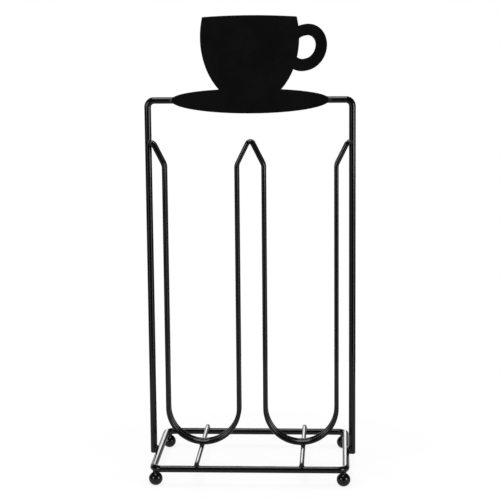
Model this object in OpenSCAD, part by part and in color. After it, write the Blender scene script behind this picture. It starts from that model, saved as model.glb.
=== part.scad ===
// Counter-top rack for coffee capsules, welded from black coated wire.
// Millimetres, +Z up, front towards -Y, origin on the counter under the middle of the rack.

/* [Wire] */
// Diameter of the wire of the base ring and the arch
frame_wire_d = 5.1; // [4.5:0.1:5.5]
// Diameter of the wire of the rails and the cross bars
rail_wire_d = 3.5; // [3:0.1:3.8]
// How far crossed wires are pressed into each other where they are welded
weld_sink = 0.6; // [0.3:0.05:0.75]

/* [Base] */
// Width of the base ring between the centre lines of its side wires
ring_w = 143.6; // [138:0.2:150]
// Depth of the base ring between the centre lines of its front and rear wires
ring_d = 104.6; // [90:0.2:130]
// Bend radius of the ring's corners at the centre line
ring_bend_r = 6.5; // [5.5:0.5:12]
// Diameter of the ball feet
foot_d = 10.3; // [8.5:0.1:12]
// Diameter of the small flat that each ball stands on
foot_flat_d = 3; // [2:0.1:4]
// Height of the weld neck between a ball and the ring
foot_neck_h = 0.1; // [0.1:0.1:1.5]
// Distance between the centre lines of the two cross bars
cross_bar_gap = 78; // [66:0.5:90]
// Length of the cross bars
cross_bar_l = 108; // [104:0.5:112]

/* [Arch] */
// Height of the top bar's centre line above the counter
arch_h = 282.6; // [260:0.2:320]
// Bend radius of the arch's two top corners at the centre line
arch_bend_r = 5; // [4:0.5:12]

/* [Rails] */
// Slot between the front and the rear rail, for a capsule's rim
rim_slot = 3.6; // [3:0.1:4.2]
// Clear width of a channel between its two uprights, for a capsule's body
channel_w = 51; // [49:0.1:54]
// Distance between the middles of the two channels
channel_gap = 74.8; // [73.2:0.2:76]
// Height of the rails' peaks above the counter, at the centre line
rail_h = 251.4; // [225:0.2:256]
// Angle of the peaks' flanks from the vertical
flank_angle = 26.5; // [22:0.5:32]
// Bend radius of the peaks and of the rails' end pieces at the centre line
peak_bend_r = 2.4; // [2.2:0.1:3]
// Bend radius between an upright and a peak's flank
knee_bend_r = 8; // [4:0.5:14]
// Angle of the rails' end pieces above the horizontal
end_angle = 38; // [30:1:45]
// Sideways reach of an end piece from its bend to its cut end
end_reach = 2.4; // [1.6:0.1:3]

/* [Emblem] */
// Thickness of the sheet
sheet_t = 1.5; // [1:0.1:2.5]
// Sideways place of the emblem on the top bar
emblem_x = 0.5; // [-3:0.1:3]
// Width of the cup
cup_w = 73.6; // [64:0.2:80]
// Height of the cup's widest place above the top bar
cup_belly_h = 46.4; // [40:0.2:50]
// Depth of the cup's round bottom below its widest place
cup_bowl_h = 49.5; // [46:0.5:54]
// Height of the middle of the cup's rim above the top bar
cup_rim_h = 62.8; // [58:0.2:66]
// How far the rim bows up between its corners
cup_rim_bow = 1.2; // [0.5:0.1:3]
// Width of the saucer
saucer_w = 118; // [104:0.5:124]
// Height of the saucer above the top bar's centre line
saucer_up = 8.7; // [6:0.1:12]
// Depth of the saucer below the top bar's centre line
saucer_down = 9.8; // [6:0.1:12]
// Place of the handle's middle beside the cup's centre line
handle_x = 41.7; // [38:0.1:44]
// Height of the handle's middle above the top bar
handle_h = 38.9; // [34:0.1:44]
// Width of the handle's outline
handle_w = 30.5; // [26:0.1:34]
// Length of the handle's outline
handle_l = 35.4; // [30:0.1:40]
// Width of the handle's hole
handle_hole_w = 13.5; // [12:0.1:16]
// Length of the handle's hole
handle_hole_l = 17.6; // [16:0.1:20]
// Height of the hole's middle above the handle's middle
handle_hole_up = 0.3; // [0:0.1:0.5]
// Lean of the handle away from the cup
handle_lean = 24; // [0:1:40]
// Straight stretch of the handle's two arms towards the cup
handle_arm = 1.5; // [0.5:0.1:3]
// Slope of the arms, down towards the cup
handle_arm_slope = 12; // [0:1:20]

/* [Welds] */
// Radius of the weld at each tip of the emblem's saucer
tip_bead_r = 1.8; // [1.5:0.1:2.2]
// Radius of the weld between a rail and a cross bar, and between a rail's end and the arch
small_bead_r = 2.4; // [2.3:0.1:2.8]
// Radius of the weld between a cross bar and the ring
bead_r = 2.8; // [2.6:0.1:3.2]
// Radius of the weld between an arch leg and the ring
large_bead_r = 3.4; // [3:0.1:3.8]
// Place of a rail end's weld between the arch's middle and the rail, as a share of the way out
rail_bead_share = 0.8; // [0.7:0.05:0.9]
// How far a tip weld comes forward through the sheet, as a share of the sheet's thickness
tip_bead_share = 0.8; // [0.5:0.05:0.9]
// Radius of the weld neck between a ball foot and the ring
neck_r = 2.2; // [1.8:0.1:2.3]
// Gap that weld metal fills between the emblem's sheet and the arch's top bar
weld_gap = 0.1; // [0.05:0.05:0.2]

/* [Hidden] */
$fn = 64;

frame_r = frame_wire_d / 2;
rail_r = rail_wire_d / 2;

// A ball foot sits under the middle of each corner bend of the ring.
foot_r = foot_d / 2;
foot_z = sqrt(foot_r ^ 2 - (foot_flat_d / 2) ^ 2);
foot_top_z = foot_z + foot_r;
foot_inset = ring_bend_r * (1 - cos(45));
foot_x = ring_w / 2 - foot_inset;
foot_y = ring_d / 2 - foot_inset;

// The ring carries the cross bars, and the cross bars carry the rails.
ring_z = foot_top_z + foot_neck_h + frame_r;
cross_bar_x = cross_bar_gap / 2;
cross_bar_z = ring_z + frame_r + rail_r - weld_sink;
rail_base_z = cross_bar_z + 2 * rail_r - weld_sink;

// The arch's legs are pressed against the outside of the ring's side wires.
arch_x = ring_w / 2 + 2 * frame_r - weld_sink / 2;
arch_foot_z = ring_z - frame_r;

// The rails' cut ends are pressed against the front and the back of the arch's legs.
rail_y = (rim_slot + rail_wire_d) / 2;
rail_end_x = arch_x - sqrt((frame_r + rail_r - weld_sink / 2) ^ 2 - rail_y ^ 2);
channel_x = channel_gap / 2;
channel_r = (channel_w + rail_wire_d) / 2;
inner_x = channel_x - channel_r;
outer_x = channel_x + channel_r;

// A peak's flanks would meet at the sharp height, and leave the uprights at the knee height.
sharp_z = rail_h + peak_bend_r * (1 / sin(flank_angle) - 1);
knee_z = sharp_z - inner_x / tan(flank_angle);
peak_trim = peak_bend_r / tan(flank_angle);
knee_trim = knee_bend_r * tan(flank_angle / 2);
flank_run = inner_x / sin(flank_angle) - peak_trim - knee_trim;
upright_run = knee_z - knee_trim - rail_base_z - channel_r;

// An outer flank bends once more, to the end piece that reaches the arch's leg.
end_bend_x = rail_end_x - end_reach;
end_bend_z = knee_z + (end_bend_x - outer_x) / tan(flank_angle);
end_z = end_bend_z + end_reach * tan(end_angle);
end_turn = 90 - flank_angle - end_angle;
end_trim = peak_bend_r * tan(end_turn / 2);
end_run = end_reach / cos(end_angle) - end_trim;
outer_flank_run = (end_bend_x - outer_x) / sin(flank_angle) - knee_trim - end_trim;

bend_swell = 0.02;
bend_lap = 0.1;
bend_steps = 200;

sheet_back_y = -frame_r - weld_gap;
outline_steps = 72;
saucer_upper_power = 0.42;
saucer_lower_power = 0.5;

wire_black = [0.06, 0.06, 0.065];
foot_black = [0.07, 0.07, 0.075];
plate_black = [0.055, 0.055, 0.055];
weld_black = [0.09, 0.09, 0.095];

// Wire of round section, from the origin along +X: a list of [straight run, turn, bend radius] steps.
// The bends are a hair thicker than the straight runs, whose ends reach a little way into them.
module bent_wire(steps, d, closed = false, i = 0) {
    if (i < len(steps)) {
        run = steps[i][0];
        turn = steps[i][1];
        bend_r = steps[i][2];
        side = sign(turn);
        lap_in = closed || i > 0 ? bend_lap : 0;
        lap_out = turn != 0 ? bend_lap : 0;
        if (run > 0)
            translate([-lap_in, 0, 0])
                rotate([0, 90, 0])
                    cylinder(h = lap_in + run + lap_out, d = d);
        if (turn != 0)
            translate([run, side * bend_r, 0]) {
                rotate([0, 0, turn > 0 ? -90 : 90 + turn])
                    rotate_extrude(angle = abs(turn), $fn = bend_steps)
                        translate([bend_r, 0])
                            circle(d = d + bend_swell);
                rotate([0, 0, turn])
                    translate([0, -side * bend_r, 0])
                        bent_wire(steps, d, closed, i + 1);
            }
    }
}

// Stands a flat shape up in the XZ plane at depth y
module upright(y) {
    translate([0, y, 0])
        rotate([90, 0, 0])
            children();
}

module ring_wire() {
    front = [ring_w - 2 * ring_bend_r, 90, ring_bend_r];
    side = [ring_d - 2 * ring_bend_r, 90, ring_bend_r];
    translate([ring_bend_r - ring_w / 2, -ring_d / 2, ring_z])
        bent_wire([front, side, front, side], frame_wire_d, closed = true);
}

module arch_wire() {
    leg_run = arch_h - arch_foot_z - arch_bend_r;
    top_run = 2 * (arch_x - arch_bend_r);
    upright(0)
        translate([-arch_x, arch_foot_z, 0])
            rotate([0, 0, 90])
                bent_wire([[leg_run, -90, arch_bend_r], [top_run, -90, arch_bend_r], [leg_run, 0, 0]],
                          frame_wire_d);
}

module cross_bar_wire(side) {
    translate([side * cross_bar_x, cross_bar_l / 2, cross_bar_z])
        rotate([90, 0, 0])
            cylinder(h = cross_bar_l, d = rail_wire_d);
}

// Two round-bottomed channels with a peak between them and a short end piece on each side
module rail_wire(y) {
    peak_turn = 180 - 2 * flank_angle;
    channel_bottom = [[upright_run, 180, channel_r], [upright_run, -flank_angle, knee_bend_r]];
    upright(y)
        translate([-rail_end_x, end_z, 0])
            rotate([0, 0, -end_angle])
                bent_wire([
                    [end_run, -end_turn, peak_bend_r],
                    [outer_flank_run, -flank_angle, knee_bend_r],
                    each channel_bottom,
                    [flank_run, -peak_turn, peak_bend_r],
                    [flank_run, -flank_angle, knee_bend_r],
                    each channel_bottom,
                    [outer_flank_run, -end_turn, peak_bend_r],
                    [end_run, 0, 0]
                ], rail_wire_d);
}

module foot_ball(x, y) {
    difference() {
        translate([x, y, foot_z])
            sphere(r = foot_r);
        translate([x - foot_r, y - foot_r, -foot_r])
            cube([foot_d, foot_d, foot_r]);
    }
}

// Cup with round sides and a rim that bows up a little
module cup_outline() {
    corner = asin((cup_rim_h - cup_rim_bow - cup_belly_h) / cup_bowl_h);
    corner_x = cup_w / 2 * cos(corner);
    sweep = 180 + 2 * corner;
    side = [for (i = [0:outline_steps])
        let (t = corner - sweep * i / outline_steps)
            [cup_w / 2 * cos(t), cup_belly_h + cup_bowl_h * sin(t)]];
    rim = [for (i = [1:outline_steps - 1])
        let (u = 2 * i / outline_steps - 1) [u * corner_x, cup_rim_h - cup_rim_bow * u ^ 2]];
    polygon(concat(side, rim));
}

function reversed(list) = [for (i = [len(list) - 1:-1:0]) list[i]];

// One edge of the saucer, from its left tip to its right tip
function saucer_edge(h, power) =
    [for (i = [0:outline_steps])
        let (u = -cos(180 * i / outline_steps)) [saucer_w / 2 * u, h * max(0, 1 - u ^ 2) ^ power]];

module saucer_outline() {
    lower = saucer_edge(-saucer_down, saucer_lower_power);
    upper = reversed(saucer_edge(saucer_up, saucer_upper_power));
    tip = len(upper) - 2;
    polygon(concat(lower, [for (i = [1:tip]) upper[i]]));
}

// Ellipse whose side that faces a step is moved by that step, which leaves two straight stretches
module stretched_ellipse(w, l, step) {
    polygon([for (i = [0:outline_steps - 1])
        let (t = 360 * i / outline_steps, at = [w / 2 * cos(t), l / 2 * sin(t)])
            cos(t) / w * step.x + sin(t) / l * step.y > 0 ? at + step : at]);
}

// Leaning ellipse beside the cup, stretched towards it along the handle's arms
module handle_round(w, l, h) {
    slope = handle_lean + handle_arm_slope;
    translate([handle_x, h])
        rotate(-handle_lean)
            stretched_ellipse(w, l, -handle_arm * [cos(slope), sin(slope)]);
}

module handle_outline() {
    difference() {
        handle_round(handle_w, handle_l, handle_h);
        handle_round(handle_hole_w, handle_hole_l, handle_h + handle_hole_up);
    }
}

module emblem_sheet() {
    translate([emblem_x, 0, arch_h])
        upright(sheet_back_y)
            union() {
                linear_extrude(sheet_t)
                    cup_outline();
                linear_extrude(sheet_t)
                    saucer_outline();
                linear_extrude(sheet_t)
                    handle_outline();
            }
}

module base_ring() {
    color(wire_black)
        ring_wire();
}

module foot(x_side, y_side) {
    color(foot_black)
        foot_ball(x_side * foot_x, y_side * foot_y);
}

module cross_bar(side) {
    color(wire_black)
        difference() {
            cross_bar_wire(side);
            ring_wire();
        }
}

module arch() {
    color(wire_black)
        difference() {
            arch_wire();
            ring_wire();
        }
}

module rail(y) {
    color(wire_black)
        difference() {
            rail_wire(y);
            cross_bar_wire(-1);
            cross_bar_wire(1);
            arch_wire();
        }
}

module emblem_plate() {
    color(plate_black)
        emblem_sheet();
}

module foot_welds() {
    overlap = neck_r / 2;
    color(weld_black)
        difference() {
            for (x = [-foot_x, foot_x], y = [-foot_y, foot_y])
                translate([x, y, foot_top_z - overlap])
                    cylinder(h = foot_neck_h + 2 * overlap, r = neck_r);
            for (x = [-foot_x, foot_x], y = [-foot_y, foot_y])
                foot_ball(x, y);
            ring_wire();
        }
}

module cross_bar_welds() {
    color(weld_black)
        difference() {
            for (x = [-cross_bar_x, cross_bar_x], y = [-ring_d / 2, ring_d / 2])
                translate([x, y, ring_z + frame_r - weld_sink / 2])
                    sphere(r = bead_r);
            cross_bar_wire(-1);
            cross_bar_wire(1);
            ring_wire();
        }
}

module rail_base_welds() {
    color(weld_black)
        difference() {
            for (x = [-cross_bar_x, cross_bar_x], y = [-rail_y, rail_y])
                translate([x, y, rail_base_z - rail_r + weld_sink / 2])
                    sphere(r = small_bead_r);
            cross_bar_wire(-1);
            cross_bar_wire(1);
            rail_wire(-rail_y);
            rail_wire(rail_y);
        }
}

module rail_end_welds() {
    bead_x = (rail_end_x + arch_x) / 2;
    bead_y = rail_bead_share * rail_y;
    color(weld_black)
        difference() {
            for (x = [-bead_x, bead_x], y = [-bead_y, bead_y])
                translate([x, y, end_z])
                    sphere(r = small_bead_r);
            arch_wire();
            rail_wire(-rail_y);
            rail_wire(rail_y);
        }
}

module arch_leg_welds() {
    bead_x = arch_x - frame_r;
    color(weld_black)
        difference() {
            for (x = [-bead_x, bead_x])
                translate([x, 0, ring_z])
                    sphere(r = large_bead_r);
            arch_wire();
            ring_wire();
        }
}

// The tip welds end a little behind the sheet's front face.
module emblem_welds() {
    bead_y = sheet_back_y - tip_bead_share * sheet_t + tip_bead_r;
    color(weld_black)
        difference() {
            for (side = [-1, 1])
                translate([emblem_x + side * saucer_w / 2, bead_y, arch_h])
                    sphere(r = tip_bead_r);
            arch_wire();
            emblem_sheet();
        }
}

base_ring();
foot(-1, -1);  // foot_front_left
foot(1, -1);  // foot_front_right
foot(-1, 1);  // foot_rear_left
foot(1, 1);  // foot_rear_right
cross_bar(-1);  // left_cross_bar
cross_bar(1);  // right_cross_bar
arch();
rail(-rail_y);  // front_rail
rail(rail_y);  // rear_rail
emblem_plate();
foot_welds();
cross_bar_welds();
rail_base_welds();
rail_end_welds();
arch_leg_welds();
emblem_welds();
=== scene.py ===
"""Looks of a counter-top rack for coffee capsules: coated wires, ball feet, a cut sheet emblem and welds.

Lengths are in metres and angles in degrees, unless a name or a docstring says otherwise. The frame is that
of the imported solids: +Z is up and the front is towards -Y.
"""

import logging
import math
from collections.abc import Iterable, Sequence
from dataclasses import dataclass, field
from enum import Enum

import bpy
import numpy as np
from mathutils import Matrix, Vector
from mathutils.geometry import delaunay_2d_cdt


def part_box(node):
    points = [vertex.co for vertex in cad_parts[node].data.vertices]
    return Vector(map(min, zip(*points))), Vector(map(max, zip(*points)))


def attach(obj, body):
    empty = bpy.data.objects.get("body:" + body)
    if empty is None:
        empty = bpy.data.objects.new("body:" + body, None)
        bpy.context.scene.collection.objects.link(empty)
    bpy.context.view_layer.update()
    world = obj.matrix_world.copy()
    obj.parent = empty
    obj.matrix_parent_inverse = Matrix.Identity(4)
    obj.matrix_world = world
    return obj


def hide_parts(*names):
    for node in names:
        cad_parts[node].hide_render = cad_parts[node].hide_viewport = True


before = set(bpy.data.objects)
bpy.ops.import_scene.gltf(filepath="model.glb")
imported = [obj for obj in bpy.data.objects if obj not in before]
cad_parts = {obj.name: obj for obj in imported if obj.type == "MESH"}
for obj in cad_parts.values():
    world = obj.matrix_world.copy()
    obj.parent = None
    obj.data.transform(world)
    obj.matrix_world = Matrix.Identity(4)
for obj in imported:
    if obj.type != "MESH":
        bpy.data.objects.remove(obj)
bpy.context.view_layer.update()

LOG = logging.getLogger("capsule_rack")
MM = 0.001
BODY = "root"
WORN = "worn"
THICK_WIRE_SIDES = 36
# Least squared length of a stretch, which keeps its division defined
NO_LENGTH = 1e-18

Colour = tuple[float, float, float, float]
Faces = Iterable[Sequence[int]]
Loops = list[np.ndarray]
Socket = bpy.types.NodeSocket


def grey(level: float) -> Colour:
    """Gives an opaque neutral colour of a linear level."""
    return (level, level, level, 1.0)


def tinted(level: float, blue: float) -> Colour:
    """Gives an opaque grey of a linear level that leans to blue by a share."""
    return (level, level, level * (1.0 + blue), 1.0)


def smooth_step(low: float, high: float, values: np.ndarray) -> np.ndarray:
    """Eases values from 0 at low to 1 at high."""
    share = np.clip((values - low) / (high - low), 0.0, 1.0)
    return share * share * (3.0 - 2.0 * share)


def circle(count: int) -> np.ndarray:
    """Gives evenly spaced points of a circle of radius one."""
    turn = np.linspace(0.0, 2.0 * math.pi, count, endpoint=False)
    return np.stack([np.cos(turn), np.sin(turn)], 1)


# Meshes


def ring_quads(rings: int, sides: int, closed: bool = False) -> list[tuple[int, int, int, int]]:
    """Lists the quads between rings of points.

    Args:
        rings: How many rings there are.
        sides: How many points a ring has.
        closed: Whether the last ring joins the first.

    Returns:
        The quads as rows of point numbers.
    """
    quads = []
    for i in range(rings if closed else rings - 1):
        a, b = i * sides, (i + 1) % rings * sides
        for j in range(sides):
            k = (j + 1) % sides
            quads.append((a + j, a + k, b + k, b + j))
    return quads


@dataclass
class MeshParts:
    """Points, faces and wear of a mesh that is being put together."""

    points: list[np.ndarray] = field(default_factory=list)
    faces: list[tuple[int, ...]] = field(default_factory=list)
    worn: list[np.ndarray] = field(default_factory=list)
    count: int = 0

    def add(self, points: np.ndarray, faces: Faces, worn: np.ndarray | float = 0.0) -> int:
        """Adds a patch whose faces count from its own first point.

        Args:
            points: The patch's points, one row each.
            faces: The patch's faces as rows of point numbers.
            worn: Wear of each point from 0 to 1, or one value for all.

        Returns:
            The number of the patch's first point in the whole mesh.
        """
        first = self.count
        self.points.append(np.asarray(points, float))
        self.faces.extend(tuple(int(i) + first for i in face) for face in faces)
        self.worn.append(np.broadcast_to(np.asarray(worn, float), len(points)))
        self.count += len(points)
        return first

    def fan(self, middle: np.ndarray, first: int, sides: int, worn: float, flip: bool = False) -> None:
        """Closes a ring of points with triangles round a middle point.

        Args:
            middle: The fan's middle.
            first: The number of the ring's first point.
            sides: How many points the ring has.
            worn: Wear of the middle.
            flip: Whether the fan looks against the ring's turn.
        """
        centre = self.add(middle[None], [], worn)
        for j in range(sides):
            a, b = first + j, first + (j + 1) % sides
            self.faces.append((centre, b, a) if flip else (centre, a, b))

    def to_object(self, name: str, sharp_angle: float) -> bpy.types.Object:
        """Makes a smooth-shaded object of the parts.

        Args:
            name: The object's name.
            sharp_angle: Edges that turn by more than this stay sharp, in degrees.

        Returns:
            The new object, linked to the scene.
        """
        mesh = bpy.data.meshes.new(name)
        mesh.from_pydata(np.concatenate(self.points).tolist(), [], self.faces)
        mesh.polygons.foreach_set("use_smooth", [True] * len(mesh.polygons))
        mesh.set_sharp_from_angle(angle=math.radians(sharp_angle))
        wear = mesh.attributes.new(WORN, "FLOAT", "POINT")
        wear.data.foreach_set("value", np.concatenate(self.worn).astype(np.float32))
        mesh.validate()
        piece = bpy.data.objects.new(name, mesh)
        bpy.context.scene.collection.objects.link(piece)
        return piece


# Wires


class BendPlane(Enum):
    """The plane that a wire is bent in, by its two axes."""

    LEVEL = ((1.0, 0.0, 0.0), (0.0, 1.0, 0.0))
    UPRIGHT = ((1.0, 0.0, 0.0), (0.0, 0.0, 1.0))

    @property
    def axes(self) -> np.ndarray:
        """The two axes and the plane's normal, one row each."""
        first, second = (np.array(axis) for axis in self.value)
        return np.array([first, second, np.cross(first, second)])


@dataclass(frozen=True)
class Step:
    """A straight run of wire and the bend after it, with its turn in degrees to the left."""

    run: float
    turn: float = 0.0
    radius: float = 0.0


@dataclass
class Wire:
    """A round wire bent in one plane."""

    radius: float
    plane: BendPlane
    origin: tuple[float, float, float]
    start: tuple[float, float]
    heading: float
    steps: Sequence[Step]
    closed: bool = False
    sides: int = 28
    run_step: float = 9.0 * MM
    turn_step: float = 5.0
    end_round_share: float = 0.3
    end_clear_share: float = 1.5
    end_rings: int = 5
    wear_reach: float = 1.4 * MM
    sharp_angle: float = 50.0

    def __post_init__(self) -> None:
        """Traces the centre line once, as points, directions and distances along it."""
        flat, headings = self._trace()
        axes = self.plane.axes
        self.line = np.array(self.origin) + flat @ axes[:2]
        self.along = np.stack([np.cos(headings), np.sin(headings)], 1) @ axes[:2]
        gaps = np.linalg.norm(np.diff(self.line, axis=0), axis=1)
        self.distance = np.concatenate([[0.0], np.cumsum(gaps)])

    def _trace(self) -> tuple[np.ndarray, np.ndarray]:
        """Walks the steps in the bend plane.

        Returns:
            The centre line's points in the plane, and the heading at each in radians.
        """
        point = np.array(self.start)
        angle = math.radians(self.heading)
        points, headings = [point], [angle]
        for step in self.steps:
            ahead = np.array([math.cos(angle), math.sin(angle)])
            count = math.ceil(step.run / self.run_step)
            for i in range(count):
                points.append(point + ahead * step.run * (i + 1) / count)
                headings.append(angle)
            point = point + ahead * step.run
            if step.turn:
                side = math.copysign(1.0, step.turn)
                middle = point + side * step.radius * np.array([-ahead[1], ahead[0]])
                count = math.ceil(abs(step.turn) / self.turn_step)
                first = angle
                for i in range(count):
                    angle = first + math.radians(step.turn) * (i + 1) / count
                    out = np.array([math.sin(angle), -math.cos(angle)])
                    points.append(middle + side * step.radius * out)
                    headings.append(angle)
                point = points[-1]
        return np.array(points), np.array(headings)

    def at(self, distance: np.ndarray) -> tuple[np.ndarray, np.ndarray]:
        """Gives points and directions of the centre line.

        Args:
            distance: Distances along the wire.

        Returns:
            The points and the unit directions there, one row each.
        """
        points = np.stack([np.interp(distance, self.distance, c) for c in self.line.T], 1)
        along = np.stack([np.interp(distance, self.distance, c) for c in self.along.T], 1)
        return points, along / np.linalg.norm(along, axis=1, keepdims=True)

    def _stations(self) -> tuple[np.ndarray, np.ndarray]:
        """Chooses where along the wire its section is drawn.

        Returns:
            The distances along the wire, and the section's radius at each.
        """
        if self.closed:
            return self.distance[:-1], np.full(len(self.distance) - 1, self.radius)
        length = self.distance[-1]
        edge = self.end_round_share * self.radius
        clear = self.end_clear_share * edge
        turn = np.linspace(0.0, math.pi / 2, self.end_rings)
        rim, rim_radii = edge * (1.0 - np.cos(turn)), self.radius - edge * (1.0 - np.sin(turn))
        inner = self.distance[(self.distance > clear) & (self.distance < length - clear)]
        radii = np.concatenate([rim_radii, np.full(len(inner), self.radius), rim_radii[::-1]])
        return np.concatenate([rim, inner, length - rim[::-1]]), radii

    def tube(self) -> MeshParts:
        """Sweeps the round section along the centre line.

        Returns:
            The wire's mesh, whose cut ends are rounded and worn.
        """
        stations, radii = self._stations()
        middles, along = self.at(stations)
        normal = self.plane.axes[2]
        cos, sin = circle(self.sides).T[:, None, :, None]
        out = cos * np.cross(normal, along)[:, None, :] + sin * normal
        points = middles[:, None, :] + radii[:, None, None] * out
        worn = np.zeros(len(stations))
        if not self.closed:
            to_end = np.minimum(stations, self.distance[-1] - stations)
            worn = 1.0 - smooth_step(0.0, self.wear_reach, to_end)
        parts = MeshParts()
        quads = ring_quads(len(stations), self.sides, self.closed)
        parts.add(points.reshape(-1, 3), quads, np.repeat(worn, self.sides))
        if not self.closed:
            parts.fan(middles[0], 0, self.sides, 1.0, flip=True)
            parts.fan(middles[-1], (len(stations) - 1) * self.sides, self.sides, 1.0)
        return parts

    def near(self, point: np.ndarray, reach: float, spacing: float = 0.8 * MM) -> np.ndarray:
        """Gives the stretch of the centre line round a point, short of the cut ends by the radius.

        Args:
            point: The place of interest.
            reach: How far the stretch goes from the point.
            spacing: The distance between the stretch's points.

        Returns:
            Points along the stretch, one row each.
        """
        trim = 0.0 if self.closed else self.radius
        low, high = trim, self.distance[-1] - trim
        points, _ = self.at(np.linspace(low, high, round((high - low) / spacing)))
        return points[np.linalg.norm(points - point, axis=1) < reach]


# Shader trees


class ShaderTree:
    """Adds and links nodes of one shader tree."""

    def __init__(self, tree: bpy.types.NodeTree) -> None:
        """Keeps the tree."""
        self.tree = tree

    def add(self, kind: str, inputs: dict | None = None, **settings: object) -> bpy.types.Node:
        """Adds a node.

        Args:
            kind: The node's type, without the leading ShaderNode.
            inputs: A value, or the socket to link, for each input by name or number.
            settings: Attributes to set on the node first.

        Returns:
            The new node.
        """
        node = self.tree.nodes.new("ShaderNode" + kind)
        for name, value in settings.items():
            setattr(node, name, value)
        for name, value in (inputs or {}).items():
            self.feed(node.inputs[name], value)
        return node

    def feed(self, socket: Socket, value: object) -> None:
        """Links a socket to another one, or sets its value."""
        if isinstance(value, Socket):
            self.tree.links.new(value, socket)
        else:
            socket.default_value = value

    def math(self, operation: str, a: object, b: object = 0.0, clamp: bool = False) -> Socket:
        """Adds a sum of two values and gives its result."""
        return self.add("Math", {0: a, 1: b}, operation=operation, use_clamp=clamp).outputs[0]

    def spread(self, value: object, low: float, high: float, to_low: object, to_high: object) -> Socket:
        """Maps a value smoothly from one range to another and gives the result."""
        inputs = {"Value": value, "From Min": low, "From Max": high, "To Min": to_low, "To Max": to_high}
        return self.add("MapRange", inputs, interpolation_type="SMOOTHSTEP").outputs["Result"]

    def noise(self, vector: object, scale: object, detail: float, roughness: float = 0.5) -> Socket:
        """Adds a noise and gives its value."""
        inputs = {"Vector": vector, "Scale": scale, "Detail": detail, "Roughness": roughness}
        return self.add("TexNoise", inputs).outputs["Fac"]

    def mix_colour(self, factor: object, a: object, b: object) -> Socket:
        """Mixes two colours and gives the result."""
        return self.add("Mix", {0: factor, 6: a, 7: b}, data_type="RGBA").outputs[2]

    def seen_rays(self) -> tuple[Socket, Socket]:
        """Tells rays apart by where they come from.

        Returns:
            Whether a ray comes from the camera, and whether it comes off gloss or through glass.
        """
        path = self.add("LightPath").outputs
        mirrored = self.math("ADD", path["Is Glossy Ray"], path["Is Transmission Ray"], True)
        return path["Is Camera Ray"], mirrored


class Effect(Enum):
    """Surface effects that several finishes share, by the name of their node group."""

    COATING_SKIN = "coating_skin"
    RUBBED_EDGE = "rubbed_edge"
    SETTLED_DUST = "settled_dust"


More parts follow.
